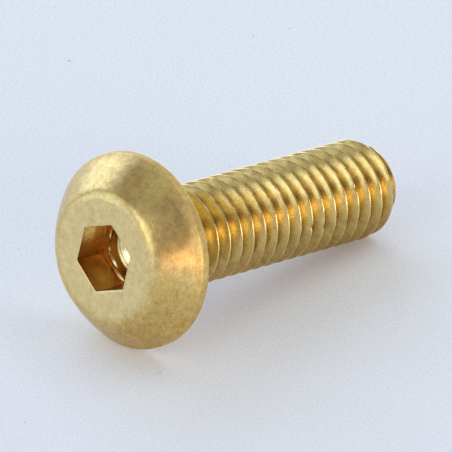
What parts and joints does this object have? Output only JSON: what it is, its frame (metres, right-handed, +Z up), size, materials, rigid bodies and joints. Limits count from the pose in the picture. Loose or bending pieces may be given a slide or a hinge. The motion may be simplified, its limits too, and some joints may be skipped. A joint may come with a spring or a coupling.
{
  "type": "button head screw",
  "caption": "Brass button head machine screw with a hexagon socket and a right-hand metric thread up to its neck, lying on its side.",
  "frame": {"origin": "on the surface that the screw lies on, under the middle of its length", "axes": "+X towards the screw's point, which lies lower than the head's centre; +Z up"},
  "size_m": [0.0184, 0.0092, 0.0092],
  "materials": {
    "brass": "satin, as turned"
  },
  "bodies": {
    "root": {"button_head_screw": "brass"}
  },
  "joints": []
}
